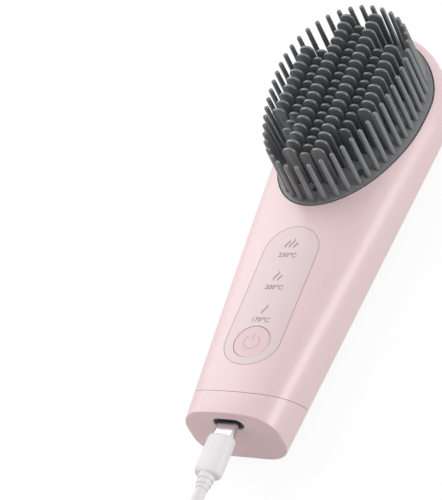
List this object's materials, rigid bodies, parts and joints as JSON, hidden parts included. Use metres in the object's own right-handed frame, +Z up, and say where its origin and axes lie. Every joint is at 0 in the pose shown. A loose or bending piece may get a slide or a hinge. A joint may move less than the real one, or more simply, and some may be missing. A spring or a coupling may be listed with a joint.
{
  "type": "heated styling brush",
  "caption": "Cordless heated hair-styling brush with a tapered body, an oval pad of guard pins and heated teeth, a flush control panel with a power button, and a charging lead.",
  "frame": {"origin": "middle of the brush's length and width, on the flat back that it lies on", "axes": "X across the brush, +Y from the charging end to the head, +Z up out of the bristle side"},
  "size_m": [0.0766, 0.348, 0.0438],
  "materials": {
    "pink_shell": "satin",
    "panel_inlay": "satin",
    "button_face": "satin",
    "dark_pad": "satin",
    "dark_bristle": "satin",
    "coated_teeth": "matt coating",
    "screw_steel": "dark zinc",
    "heater_aluminium": "cast",
    "heater_ceramic": "matt white ceramic",
    "spring_steel": "bright",
    "heat_proof_resin": "matt",
    "fuse_can": "bright",
    "lead_silicone": "matt",
    "potting_resin": "gloss",
    "cell_can": "satin sleeve",
    "inner_plastic": "matt",
    "board_laminate": "solder mask",
    "lamp_resin": "clear",
    "clear_guide": "frosted",
    "bright_metal": "plated",
    "white_grip": "satin",
    "white_cable": "matt",
    "strap": "woven"
  },
  "bodies": {
    "brush": {"housing": "pink_shell", "end_cap": "pink_shell", "control_panel": "panel_inlay", "bristle_pad": "dark_pad", "guard_pins": "dark_bristle", "tall_paddles": "dark_bristle", "heated_teeth": "coated_teeth", "pad_screws": "screw_steel", "board_screws": "screw_steel", "heating_plate": "heater_aluminium", "ceramic_heater": "heater_ceramic", "thermistor": "heater_ceramic", "heater_clamp": "spring_steel", "ion_emitters": "spring_steel", "battery_tabs": "spring_steel", "insulation_tray": "heat_proof_resin", "thermal_fuse": "fuse_can", "heater_leads": "lead_silicone", "ion_generator": "potting_resin", "battery_cell": "cell_can", "battery_cradle": "inner_plastic", "button_switch": "inner_plastic", "board_components": "inner_plastic", "port_tongue": "inner_plastic", "control_board": "board_laminate", "indicator_lamps": "lamp_resin", "light_guides": "clear_guide", "charging_port": "bright_metal"},
    "power_button": {"power_button": "button_face", "switch_plunger": "inner_plastic"},
    "charging_lead": {"plug_shell": "bright_metal", "plug_grip": "white_grip", "cable_collar": "white_grip", "charging_cable": "white_cable", "cable_coil": "white_cable", "cable_tail": "white_cable", "cable_tie": "strap", "supply_grip": "white_grip", "supply_shell": "bright_metal"}
  },
  "joints": [
    {"name": "button_press", "type": "slide", "parent": "brush", "child": "power_button", "axis": [0, 0, -1], "range_m": [0, 0.0004], "stiffness_N_per_m": 800},
    {"name": "plug_slide", "type": "slide", "parent": "brush", "child": "charging_lead", "axis": [0, -1, 0], "range_m": [-0.0053, 0.012]}
  ]
}
